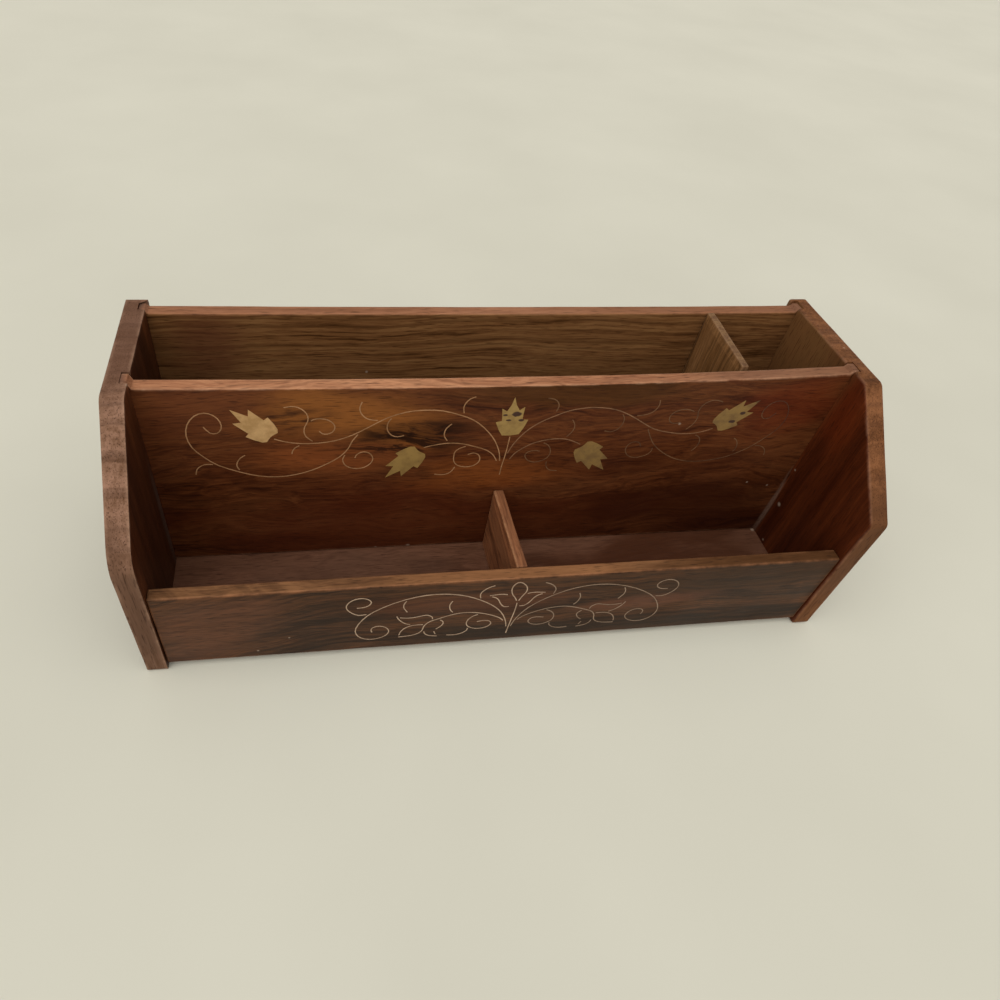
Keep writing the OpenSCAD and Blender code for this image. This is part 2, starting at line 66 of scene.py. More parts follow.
# Waves of the uneven wear of arrises per metre.
WEAR_WAVES = 60.0
# Height under a board's top edge, in mm, that a hollow in the edge spreads over.
EDGE_BAND = 8.0
# How far the housed boards reach further into their grooves than in the CAD model, in mm.
END_ROOM = 0.55
# Distances from the end of a board, in mm, between which its top edge comes down to its shown height.
HOUSED_STEPS = (1.8, 3.0)

# Patterns of the wood, in waves per mm along, across and through the board.
DRIFT = (0.009, 0.022, 0.022)
RIPPLE = (0.035, 0.06, 0.06)
CLOUDS = (0.014, 0.05, 0.05)
STREAKS = (0.024, 0.42, 0.42)
FIBRES = (0.045, 1.1, 1.1)
SMEARS = (0.03, 0.05, 0.05)
RUBBED_PATCHES = 0.11
# Open pores of this timber are 0.2 to 0.3 mm wide, drawn at 0.45 mm so that they show.
PORES = (0.16, 2.2, 2.2)
# Shares of the growth layers, fibres and clouds, and of the fine streaks, in the wood's tone.
LAYER_SHARES = (0.45, 0.45, 0.25)
STREAK_SHARE = 0.5
TONE = (sum(LAYER_SHARES) + STREAK_SHARE) / 2
# How far from its middle the tone shows a face's dark, middle and light colour, and an edge's dark and light.
FACE_TONES = (-0.16, -0.03, 0.16)
EDGE_TONES = (-0.16, 0.12)
# Part of a noise's range over which thin lines, streaks and pores come in.
LINE_RANGE = (0.52, 0.62)
STREAK_RANGE = (0.42, 0.56)
PORE_RANGE = (0.58, 0.72)
PORE_DEPTH = 0.7
# Size of a surface normal's part through the board over which an edge turns into a face.
EDGE_RANGE = (0.45, 0.9)
# Distance over which an area of other colour, stained wood or painted shade or highlight, fades, in its half
# sizes, with a share of the clouds added to make it ragged.
AREA_FADE = (1.35, 2.15)
AREA_CLOUDS = 2.0

Tree = bpy.types.NodeTree
Mesh = bmesh.types.BMesh
# Ovals where brass is worn away, each its middle in x and z, half width and half height in mm, and how far
# it is worn away there, from 0 to 1.
Ovals = tuple[tuple[float, ...], ...]

log = logging.getLogger("desk_organizer")
logging.basicConfig(level=logging.INFO, format="%(name)s: %(message)s")


class Grain(Enum):
    """Order of the axes in a board: along the grain, across it on the wide face, through the board."""

    PANEL = (0, 2, 1)
    FLOOR = (0, 1, 2)
    DIVIDER = (1, 2, 0)
    UPRIGHT = (2, 1, 0)


def linear(colour: str) -> tuple[float, float, float, float]:
    """Turns an sRGB hex colour into a linear one.

    Args:
        colour: six hex digits after a hash.

    Returns:
        Linear red, green, blue and an alpha of 1.
    """
    parts = [int(colour[i:i + 2], 16) / 255 for i in (1, 3, 5)]
    red, green, blue = (c / 12.92 if c <= 0.04045 else ((c + 0.055) / 1.055) ** 2.4 for c in parts)
    return red, green, blue, 1.0


def add(tree: Tree, kind: str, inputs: Optional[dict[Any, Any]] = None, output: int = 0,
        stops: Optional[Sequence[tuple[float, str]]] = None, **settings: Any) -> Any:
    """Adds a node with its settings and links.

    Args:
        tree: node tree that gets the node.
        kind: type of node, without its ShaderNode prefix.
        inputs: a value or another node's socket for each input, by name or number.
        output: number of the output that is returned.
        stops: places and hex colours of a colour ramp.
        settings: properties of the node.

    Returns:
        The node's output socket, or None for a node that has none.
    """
    node = tree.nodes.new("ShaderNode" + kind)
    for key, value in settings.items():
        setattr(node, key, value)
    for key, value in (inputs or {}).items():
        if isinstance(value, bpy.types.NodeSocket):
            tree.links.new(value, node.inputs[key])
        else:
            node.inputs[key].default_value = value
    if stops:
        ramp = node.color_ramp.elements
        while len(ramp) < len(stops):
            ramp.new(1.0)
        for element, (place, colour) in zip(ramp, stops):
            element.position = place
            element.color = linear(colour)
    return node.outputs[output] if node.outputs else None


def new_material(name: str) -> tuple[bpy.types.Material, Tree]:
    """Makes an empty node material.

    Args:
        name: the material's name.

    Returns:
        The material and its node tree.
    """
    material = bpy.data.materials.new(name)
    material.use_nodes = True
    material.node_tree.nodes.clear()
    return material, material.node_tree


def place_mm(tree: Tree) -> Any:
    """Adds the point's place in the shared frame in mm, and returns its socket."""
    place = add(tree, "TexCoord", output=3)
    return add(tree, "VectorMath", {0: place, "Scale": PER_METRE}, operation="SCALE")


@dataclass(frozen=True)
class StainAndPaintedLight:
    """A soft-edged area of a board with another colour, places in mm on the wide face: mostly stained wood,
    and on some boards painted shade or a painted highlight.

    A streaky area shows only along the wood's fine streaks, as dark heartwood does.
    """

    along: float
    across: float
    half_length: float
    half_width: float
    colour: str
    strength: float
    streaky: float = 0.0
    lean: float = 0.0
    on_edge: bool = False


@dataclass(frozen=True)
class Rosewood:
    """Sawn and planed Indian rosewood under old oil and wax.

    Growth layers lie round a log's middle line, so a board shows stripes, arches or short bands, after the
    way it was sawn. Thin near-black growth lines, open pores as fine dark dashes, a silky low sheen and paler
    sanded edges give its look.
    """

    dark: str = "#1c0d07"
    middle: str = "#54290f"
    light: str = "#8a4f28"
    edge_dark: str = "#5a3620"
    edge_light: str = "#a06a46"
    rubbed: str = "#a8714c"
    glue: str = "#b09c88"
    layer_mm: float = 9.0
    line_mm: float = 3.0
    line_share: float = 0.5
    edge_lines: float = 0.25
    pith_across_mm: float = 0.0
    pith_deep_mm: float = 60.0
    sweep: float = 0.0
    knee_mm: float = 400.0
    warp_mm: float = 12.0
    wave_mm: float = 6.0
    contrast: float = 1.0
    seed: float = 0.0
    rub: float = 0.75
    roughness: float = 0.42
    gloss: float = 0.2
    # Areas of other colour: stained wood, and on some boards painted shade and painted highlights.
    stains_and_painted_light: tuple[StainAndPaintedLight, ...] = ()
    drops: tuple[tuple[float, float, float, float], ...] = ()

    def material(self, name: str, low: Vector, high: Vector, grain: Grain,
                 slope: Optional[tuple[Vector, Vector]] = None) -> bpy.types.Material:
        """Makes the board's material.

        Args:
            name: the board's name.
            low: lowest corner of the board, in metres.
            high: highest corner of the board, in metres.
            grain: how the grain lies in the board.
            slope: a point and the outward normal of a sloping edge, if the board has one.

        Returns:
            The material.
        """
        material, tree = new_material("rosewood_planed_waxed_" + name)
        xyz = add(tree, "SeparateXYZ", {0: place_mm(tree)}).node.outputs
        board = add(tree, "CombineXYZ", {i: xyz[axis] for i, axis in enumerate(grain.value)})
        edge = self._edge_distance(tree, low, high, grain, slope)
        tone, lines, streak, fibre, pores, cloud = self._layers(tree, board)
        face = self._wood(tree, tone, lines, FACE_TONES, (self.dark, self.middle, self.light),
                          self.line_share)
        sawn = self._wood(tree, tone, lines, EDGE_TONES, (self.edge_dark, self.edge_light), self.edge_lines)
        for area in self.stains_and_painted_light:
            if area.on_edge:
                sawn = self._stain_and_painted_light(tree, board, sawn, streak, cloud, area)
            else:
                face = self._stain_and_painted_light(tree, board, face, streak, cloud, area)
        facing = add(tree, "SeparateXYZ", {0: add(tree, "TexCoord", output=1)}).node.outputs[grain.value[2]]
        facing = add(tree, "Math", {0: facing}, operation="ABSOLUTE")
        on_edge = add(tree, "MapRange", {0: facing, 1: EDGE_RANGE[0], 2: EDGE_RANGE[1], 3: 1.0, 4: 0.0},
                      interpolation_type="SMOOTHSTEP")
        colour = add(tree, "Mix", {0: on_edge, 6: face, 7: sawn}, 2, data_type="RGBA")
        colour = self._mix(tree, pores, colour, self.dark)
        colour = self._mix(tree, self._rub(tree, board, edge), colour, self.rubbed)
        for *middle, radius in self.drops:
            colour = self._drop(tree, board, colour, middle, radius)
        smear = add(tree, "TexNoise", {0: add(tree, "Mapping", {0: board, 3: SMEARS}), 2: 1.0, 3: 3.0})
        rough = add(tree, "MapRange", {0: smear, 1: 0.35, 2: 0.65, 3: self.roughness - 0.06,
                                       4: self.roughness + 0.1})
        rough = add(tree, "Math", {0: on_edge, 1: 0.2, 2: rough}, operation="MULTIPLY_ADD")
        relief = add(tree, "Math", {0: pores, 1: -0.8, 2: fibre}, operation="MULTIPLY_ADD")
        bump = add(tree, "Bump", {"Strength": 0.35, "Distance": 0.0001, "Height": relief})
        shader = add(tree, "BsdfPrincipled", {"Base Color": colour, "Roughness": rough, "Normal": bump,
                                              "IOR": 1.5, "Specular IOR Level": self.gloss})
        add(tree, "OutputMaterial", {0: shader})
        return material

    def _wood(self, tree: Tree, tone: Any, lines: Any, tones: Sequence[float],
              colours: Sequence[str], line_share: float) -> Any:
        """Colours the wood by its tone and lays the thin dark lines over it.

        Args:
            tree: the material's node tree.
            tone: the wood's tone.
            lines: the thin dark lines.
            tones: how far from the middle tone each colour lies.
            colours: the colours, from dark to light.
            line_share: how strong the lines are.

        Returns:
            Socket of the colour.
        """
        stops = tuple((TONE + place / self.contrast, colour) for place, colour in zip(tones, colours))
        colour = add(tree, "ValToRGB", {0: tone}, stops=stops)
        share = add(tree, "Math", {0: lines, 1: line_share}, operation="MULTIPLY")
        return self._mix(tree, share, colour, self.dark)

    def _mix(self, tree: Tree, share: Any, under: Any, over: str) -> Any:
        """Lays one plain colour over another by a share, and returns the socket of the mixed colour."""
        return add(tree, "Mix", {0: share, 6: under, 7: linear(over)}, 2, data_type="RGBA")

    def _layers(self, tree: Tree, board: Any) -> tuple[Any, Any, Any, Any, Any, Any]:
        """Adds the patterns of the wood; fixed shifts keep them from lining up.

        Args:
            tree: the material's node tree.
            board: place in the board in mm, along, across and through it.

        Returns:
            Sockets of the wood's tone, thin lines, fine streaks, fibres, pores and broad clouds.
        """
        slow = add(tree, "Mapping", {0: board, 1: (self.seed, 7.3, 1.9), 3: DRIFT})
        drift = add(tree, "TexNoise", {0: slow, 2: 1.0, 3: 2.0, 4: 0.55}, 1)
        drift = add(tree, "VectorMath", {0: drift, 1: (0.5, 0.5, 0.5)}, operation="SUBTRACT")
        bent = add(tree, "VectorMath", {0: drift, 1: (0, 2 * self.warp_mm, 2 * self.warp_mm), 2: board},
                   operation="MULTIPLY_ADD")
        quick = add(tree, "Mapping", {0: board, 1: (0, self.seed, 0), 3: RIPPLE})
        quick = add(tree, "TexNoise", {0: quick, 2: 1.0, 3: 2.0}, 1)
        quick = add(tree, "VectorMath", {0: quick, 1: (0.5, 0.5, 0.5)}, operation="SUBTRACT")
        bent = add(tree, "VectorMath", {0: quick, 1: (0, self.wave_mm, self.wave_mm), 2: bent},
                   operation="MULTIPLY_ADD")
        part = add(tree, "SeparateXYZ", {0: bent}).node.outputs
        run = add(tree, "Math", {0: part[0], 1: self.knee_mm, 2: 30.0}, operation="SMOOTH_MIN")
        deep = add(tree, "Math", {0: part[2], 1: self.pith_deep_mm})
        high = add(tree, "Math", {0: part[1], 1: self.pith_across_mm}, operation="SUBTRACT")
        high = add(tree, "Math", {0: run, 1: -self.sweep, 2: high}, operation="MULTIPLY_ADD")
        radius = add(tree, "CombineXYZ", {1: high, 2: deep})
        radius = add(tree, "VectorMath", {0: radius}, 1, operation="LENGTH")
        wide = add(tree, "Math", {0: radius, 1: 1 / self.layer_mm, 2: self.seed}, operation="MULTIPLY_ADD")
        layers = add(tree, "TexNoise", {1: wide, 2: 1.0, 3: 3.0, 4: 0.6}, noise_dimensions="1D")
        narrow = add(tree, "Math", {0: radius, 1: 1 / self.line_mm, 2: 2 * self.seed},
                     operation="MULTIPLY_ADD")
        narrow = add(tree, "TexNoise", {1: narrow, 2: 1.0, 3: 2.0, 4: 0.6}, noise_dimensions="1D")
        lines = add(tree, "MapRange", {0: narrow, 1: LINE_RANGE[0], 2: LINE_RANGE[1]})
        fibre = add(tree, "Mapping", {0: bent, 1: (self.seed, 0, 0), 3: FIBRES})
        fibre = add(tree, "TexNoise", {0: fibre, 2: 1.0, 3: 3.0, 4: 0.6})
        cloud = add(tree, "Mapping", {0: bent, 1: (self.seed, 3.1, 0), 3: CLOUDS})
        cloud = add(tree, "TexNoise", {0: cloud, 2: 1.0, 3: 3.0})
        streak = add(tree, "Mapping", {0: bent, 1: (self.seed, 5.3, 0), 3: STREAKS})
        streak = add(tree, "TexNoise", {0: streak, 2: 1.0, 3: 4.0, 4: 0.65})
        tone = add(tree, "CombineXYZ", {0: layers, 1: fibre, 2: cloud})
        tone = add(tree, "VectorMath", {0: tone, 1: LAYER_SHARES}, 1, operation="DOT_PRODUCT")
        tone = add(tree, "Math", {0: streak, 1: STREAK_SHARE, 2: tone}, operation="MULTIPLY_ADD")
        dash = add(tree, "Mapping", {0: board, 1: (self.seed, 0, 0), 3: PORES})
        dash = add(tree, "TexNoise", {0: dash, 2: 1.0, 3: 1.0})
        pores = add(tree, "MapRange", {0: dash, 1: PORE_RANGE[0], 2: PORE_RANGE[1], 3: 0.0, 4: PORE_DEPTH})
        return tone, lines, streak, fibre, pores, cloud

    def _stain_and_painted_light(self, tree: Tree, board: Any, colour: Any, streak: Any, cloud: Any,
               area: StainAndPaintedLight) -> Any:
        """Lays one area of another colour over the wood: stained wood, or painted shade or a painted
        highlight.

        Args:
            tree: the material's node tree.
            board: place in the board in mm.
            colour: the wood's colour so far.
            streak: fine streaks along the grain.
            cloud: broad clouds, which make the area's outline uneven.
            area: the area.

        Returns:
            Socket of the new colour.
        """
        lean = math.radians(area.lean)
        centred = add(tree, "VectorMath", {0: board, 1: (area.along, area.across, 0)}, operation="SUBTRACT")
        offset = add(tree, "Mapping", {0: centred, 2: (0, 0, -lean)})
        scaled = add(tree, "VectorMath", {0: offset, 1: (1 / area.half_length, 1 / area.half_width, 0)},
                     operation="MULTIPLY")
        far = add(tree, "VectorMath", {0: scaled}, 1, operation="LENGTH")
        ragged = add(tree, "Math", {0: cloud, 1: AREA_CLOUDS, 2: far}, operation="MULTIPLY_ADD")
        inside = add(tree, "MapRange", {0: ragged, 1: AREA_FADE[0], 2: AREA_FADE[1],
                                        3: area.strength, 4: 0.0}, interpolation_type="SMOOTHSTEP")
        streaks = add(tree, "MapRange", {0: streak, 1: STREAK_RANGE[0], 2: STREAK_RANGE[1],
                                         3: 1 - area.streaky, 4: 1.0})
        share = add(tree, "Math", {0: inside, 1: streaks}, operation="MULTIPLY")
        return self._mix(tree, share, colour, area.colour)

    def _drop(self, tree: Tree, board: Any, colour: Any, middle: Sequence[float],
              radius: float) -> Any:
        """Adds a small dried drop of white glue.

        Args:
            tree: the material's node tree.
            board: place in the board in mm.
            colour: the wood's colour so far.
            middle: the drop's place along, across and through the board in mm.
            radius: its radius in mm.

        Returns:
            Socket of the new colour.
        """
        far = add(tree, "VectorMath", {0: board, 1: tuple(middle)}, 1, operation="DISTANCE")
        share = add(tree, "MapRange", {0: far, 1: 0.4 * radius, 2: 1.4 * radius, 3: 0.55, 4: 0.0})
        return self._mix(tree, share, colour, self.glue)

    def _edge_distance(self, tree: Tree, low: Vector, high: Vector, grain: Grain,
                       slope: Optional[tuple[Vector, Vector]]) -> Any:
        """Adds the distance to the board's nearest arris, on the board as it was planed.

        Args:
            tree: the material's node tree.
            low: lowest corner of the board, in metres.
            high: highest corner of the board, in metres.
            grain: how the grain lies in the board.
            slope: a point and the outward normal of a sloping edge, if the board has one.

        Returns:
            Socket of the distance in mm.
        """
        place = add(tree, "Attribute", output=1, attribute_name=PLANED)
        off = add(tree, "VectorMath", {0: place, 1: (low + high) / 2}, operation="SUBTRACT")
        off = add(tree, "VectorMath", {0: off}, operation="ABSOLUTE")
        off = add(tree, "VectorMath", {0: (high - low) / 2, 1: off}, operation="SUBTRACT")
        inside = add(tree, "SeparateXYZ", {0: off}).node.outputs
        along, across, thin = (inside[axis] for axis in grain.value)
        rim = add(tree, "Math", {0: along, 1: across}, operation="MINIMUM")
        if slope:
            point, normal = slope
            below = add(tree, "VectorMath", {0: point, 1: place}, operation="SUBTRACT")
            below = add(tree, "VectorMath", {0: below, 1: normal}, 1, operation="DOT_PRODUCT")
            rim = add(tree, "Math", {0: rim, 1: below}, operation="MINIMUM")
        edge = add(tree, "Math", {0: rim, 1: thin}, operation="MAXIMUM")
        return add(tree, "Math", {0: edge, 1: PER_METRE}, operation="MULTIPLY")

    def _rub(self, tree: Tree, board: Any, edge: Any) -> Any:
        """Adds the rubbed arrises.

        Args:
            tree: the material's node tree.
            board: place in the board in mm.
            edge: distance to the nearest arris in mm.

        Returns:
            Socket of the share of rubbed wood.
        """
        patchy = add(tree, "TexNoise", {0: board, 2: RUBBED_PATCHES, 3: 4.0, 4: 0.65})
        patchy = add(tree, "MapRange", {0: patchy, 1: 0.38, 2: 0.66})
        near = add(tree, "MapRange", {0: edge, 1: 0.2, 2: 1.6, 3: self.rub, 4: 0.0},
                   interpolation_type="SMOOTHSTEP")
        return add(tree, "Math", {0: near, 1: patchy}, operation="MULTIPLY")


@dataclass(frozen=True)
class InlaidBrass:
    """Sheet and wire brass, hammered into the wood, rubbed down with it and dulled by age.

    The metal is matt and yellow, a little green where it has tarnished, with wood dust and polish in its
    scratches; where it is worn away the dark wood of the groove shows.
    """

    bright: str = "#c29b68"
    dull: str = "#a98450"
    groove: str = "#3a2012"
    roughness: float = 0.55
    worn: float = 0.0
    metallic: float = 0.35

    def material(self, name: str, gone: Ovals = ()) -> bpy.types.Material:
        """Makes the material of one inlaid piece.

        Args:
            name: the piece's name.
            gone: ovals where the metal is worn away.

        Returns:
            The material.
        """
        material, tree = new_material("brass_inlaid_rubbed_" + name)
        board = place_mm(tree)
        cloud = add(tree, "TexNoise", {0: board, 2: 0.22, 3: 4.0, 4: 0.6})
        colour = add(tree, "ValToRGB", {0: cloud}, stops=((0.36, self.dull), (0.6, self.bright)))
        scratch = add(tree, "Mapping", {0: board, 2: (0, 0.5, 0), 3: (0.3, 1, 3.0)})
        scratch = add(tree, "TexNoise", {0: scratch, 2: 1.0, 3: 3.0})
        thin = add(tree, "TexNoise", {0: board, 2: 0.35, 3: 3.0, 4: 0.7})
        lost = add(tree, "MapRange", {0: thin, 1: 0.62 - 0.2 * self.worn, 2: 0.85 - 0.2 * self.worn, 4: 0.7})
        for x, z, half_x, half_z, share in gone:
            offset = add(tree, "Mapping", {0: board, 1: (-x / half_x, 0, -z / half_z),
                                           3: (1 / half_x, 0, 1 / half_z)})
            far = add(tree, "VectorMath", {0: offset}, 1, operation="LENGTH")
            far = add(tree, "Math", {0: thin, 1: 1.2, 2: far}, operation="MULTIPLY_ADD")
            oval = add(tree, "MapRange", {0: far, 1: 1.45, 2: 1.75, 3: share, 4: 0.0})
            lost = add(tree, "Math", {0: lost, 1: oval}, operation="MAXIMUM")
        colour = add(tree, "Mix", {0: lost, 6: colour, 7: linear(self.groove)}, 2, data_type="RGBA")
        metal = add(tree, "MapRange", {0: lost, 3: self.metallic, 4: 0.0})
        rough = add(tree, "MapRange", {0: scratch, 1: 0.3, 2: 0.7, 3: self.roughness - 0.08,
                                       4: self.roughness + 0.12})
        bump = add(tree, "Bump", {"Strength": 0.4, "Distance": 0.00005, "Height": scratch})
        shader = add(tree, "BsdfPrincipled", {"Base Color": colour, "Metallic": metal, "Roughness": rough,
                                              "Normal": bump})
        add(tree, "OutputMaterial", {0: shader})
        return material


@dataclass(frozen=True)
class PinSteel:
    """Drawn mild steel of small panel pins: grey with a soft shine, browned in patches by age."""

    bare: str = "#8b8a86"
    brown: str = "#5e4a3a"

    def material(self, name: str) -> bpy.types.Material:
        """Makes the pins' material.

        Args:
            name: the group's name.

        Returns:
            The material.
        """
        material, tree = new_material("steel_drawn_" + name)
        board = place_mm(tree)
        patch = add(tree, "TexNoise", {0: board, 2: 1.4, 3: 3.0})
        colour = add(tree, "ValToRGB", {0: patch}, stops=((0.42, self.brown), (0.58, self.bare)))
        rough = add(tree, "MapRange", {0: patch, 1: 0.3, 2: 0.7, 3: 0.55, 4: 0.35})
        shader = add(tree, "BsdfPrincipled", {"Base Color": colour, "Metallic": 1.0, "Roughness": rough})
        add(tree, "OutputMaterial", {0: shader})
        return material


@dataclass(frozen=True)
class PaleTop:
    """Pale painted table top under the organizer, plain and matt."""

    colour: str = "#d3d1c1"
    shade: str = "#cdcbbb"

    def material(self) -> bpy.types.Material:
        """Makes the table top's material.

        Returns:
            The material.
        """
        material, tree = new_material("paint_brushed_pale")
        cloud = add(tree, "TexNoise", {0: add(tree, "TexCoord", output=3), 2: 6.0, 3: 3.0})
        colour = add(tree, "ValToRGB", {0: cloud}, stops=((0.3, self.shade), (0.7, self.colour)))
        shader = add(tree, "BsdfPrincipled", {"Base Color": colour, "Roughness": 0.6})
        add(tree, "OutputMaterial", {0: shader})
        return material


def finish_piece(bm: Mesh, name: str, nodes: Sequence[str],
                 material: bpy.types.Material) -> bpy.types.Object:
    """Turns a bmesh into a piece of the object that stands for CAD nodes.

    Args:
        bm: the finished mesh, in metres in the shared frame.
        name: the piece's name.
        nodes: CAD nodes that it replaces.
        material: its material.

    Returns:
        The piece.
    """
    bmesh.ops.recalc_face_normals(bm, faces=bm.faces)
    mesh = bpy.data.meshes.new(name)
    bm.to_mesh(mesh)
    bm.free()
    mesh.materials.append(material)
    piece = bpy.data.objects.new(name, mesh)
    bpy.context.scene.collection.objects.link(piece)
    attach(piece, BODY)
    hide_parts(*nodes)
    log.info("%s: %d faces", name, len(mesh.polygons))
    return piece


def cut_across(bm: Mesh, axis: int, places: Sequence[float]) -> None:
    """Cuts a mesh across an axis without taking it apart.

    Args:
        bm: the mesh.
        axis: number of the axis.
        places: places of the cuts along it, in metres.
    """
    normal = Vector([float(i == axis) for i in range(3)])
    for place in places:
        bmesh.ops.bisect_plane(bm, geom=[*bm.verts, *bm.edges, *bm.faces], plane_co=normal * place,
                               plane_no=normal, dist=1e-7)


def spread(low: float, high: float, step: float) -> list[float]:
    """Evenly spaced places between two ends, about a step apart.

    Args:
        low: one end.
        high: the other end.
        step: wanted distance.

    Returns:
        The places, without the ends.
    """
    count = max(1, round((high - low) / step))
    return [low + (high - low) * i / count for i in range(1, count)]


@dataclass
class Board:
    """A straight board with softly rounded, slightly uneven edges. Sizes in mm."""

    name: str
    node: str
    grain: Grain
    finish: Rosewood
    round_mm: float = 0.9
    step_mm: float = 9.0
    uneven_mm: float = 0.22
    face_back_mm: float = 0.0
    hollow_mm: float = 0.0
    hollow_at_mm: float = 0.0
    low_left_mm: float = 0.0
    housed: bool = False
    end_rise_mm: float = 0.0
    thick_mm: float = 0.0
    slant_mm: float = 0.0

    def build(self) -> bpy.types.Object:
        """Builds and dresses the board.

        Returns:
            The piece.
        """
        low, high = (Vector(corner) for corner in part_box(self.node))
        material = self.finish.material(self.name, low, high, self.grain)
        shown, far = low.copy(), high.copy()
        shown.y += self.face_back_mm * MM
        if self.housed:
            shown.x -= END_ROOM * MM
            far.x += END_ROOM * MM
        if self.thick_mm:
            far.x = low.x + self.thick_mm * MM
        bm = bmesh.new()
        bmesh.ops.create_cube(bm, size=1.0)
        bmesh.ops.scale(bm, vec=far - shown, verts=bm.verts)
        bmesh.ops.translate(bm, vec=(far + shown) / 2, verts=bm.verts)
        for axis in self.grain.value[:2]:
            cut_across(bm, axis, spread(low[axis], high[axis], self.step_mm * MM))
        if self.housed:
            cut_across(bm, 0, [end + side * inset * MM for end, side in ((low.x, 1), (high.x, -1))
                               for inset in HOUSED_STEPS])
        ends = (shown.x, far.x) if self.housed else ()
        round_edges(bm, self.round_mm * MM, ends)
        keep_planed(bm)
        self._hollow_top(bm, low, high)
        for vert in bm.verts:
            vert.co.x -= self.slant_mm * MM * (high.y - vert.co.y) / (high.y - low.y)
        wear_edges(bm, self.uneven_mm * MM)
        return finish_piece(bm, self.name, [self.node], material)

    def _hollow_top(self, bm: Mesh, low: Vector, high: Vector) -> None:
        """Lowers the top edge towards its middle, as a plane does on a long thin board.

        Args:
            bm: the mesh.
            low: lowest corner of the board, in metres.
            high: highest corner of the board, in metres.
        """
        if not self.hollow_mm:
            return
        middle = self.hollow_at_mm * MM
        band = EDGE_BAND * MM
        start, stop = (step * MM for step in HOUSED_STEPS)
        for vert in bm.verts:
            reach = (high.x if vert.co.x > middle else low.x) - middle
            share = max(0.0, 1 - ((vert.co.x - middle) / reach) ** 2)
            left = (high.x - vert.co.x) / (high.x - low.x)
            inset = min(vert.co.x - low.x, high.x - vert.co.x)
            shown = min(1.0, max(0.0, (inset - start) / (stop - start)))
            drop = (self.hollow_mm * share + self.low_left_mm * left) * shown - self.end_rise_mm * (1 - shown)
            depth = max(0.0, (vert.co.z - high.z + band) / band)
            vert.co.z -= drop * MM * depth


def round_edges(bm: Mesh, radius: float, ends: Sequence[float] = ()) -> None:
    """Rounds every sharp edge of a mesh, but not the ends that are let into a housing.

    Args:
        bm: the mesh.
        radius: radius in metres.
        ends: places along X of the ends that stay square, in metres.
    """
    sharp = [edge for edge in bm.edges if len(edge.link_faces) == 2
             and edge.calc_face_angle() > math.radians(SHARP_DEG)
             and not any(all(abs(vert.co.x - end) < TOUCH for vert in edge.verts) for end in ends)]
    made = bmesh.ops.bevel(bm, geom=sharp, offset=radius, offset_type="OFFSET", segments=EDGE_SEGMENTS,
                           profile=0.5, affect="EDGES", material=-1, clamp_overlap=True)
    for face in made["faces"]:
        face.smooth = True


def wear_edges(bm: Mesh, depth: float) -> None:
    """Moves the rounded edges a little inwards, unevenly, as handling does.

    Args:
        bm: the mesh.
        depth: the most that a point moves, in metres.
    """
    bmesh.ops.recalc_face_normals(bm, faces=bm.faces)
    bm.normal_update()
    for vert in bm.verts:
        if any(face.smooth for face in vert.link_faces):
            amount = 0.5 + 0.5 * noise.noise(vert.co * WEAR_WAVES)
            vert.co -= vert.normal * depth * min(1.0, max(0.0, amount))


def keep_planed(bm: Mesh) -> None:
    """Keeps each point's place before wear in an attribute, which the wood's material reads.

    Args:
        bm: the mesh.
    """
    layer = bm.verts.layers.float_vector.new(PLANED)
    for vert in bm.verts:
        vert[layer] = vert.co


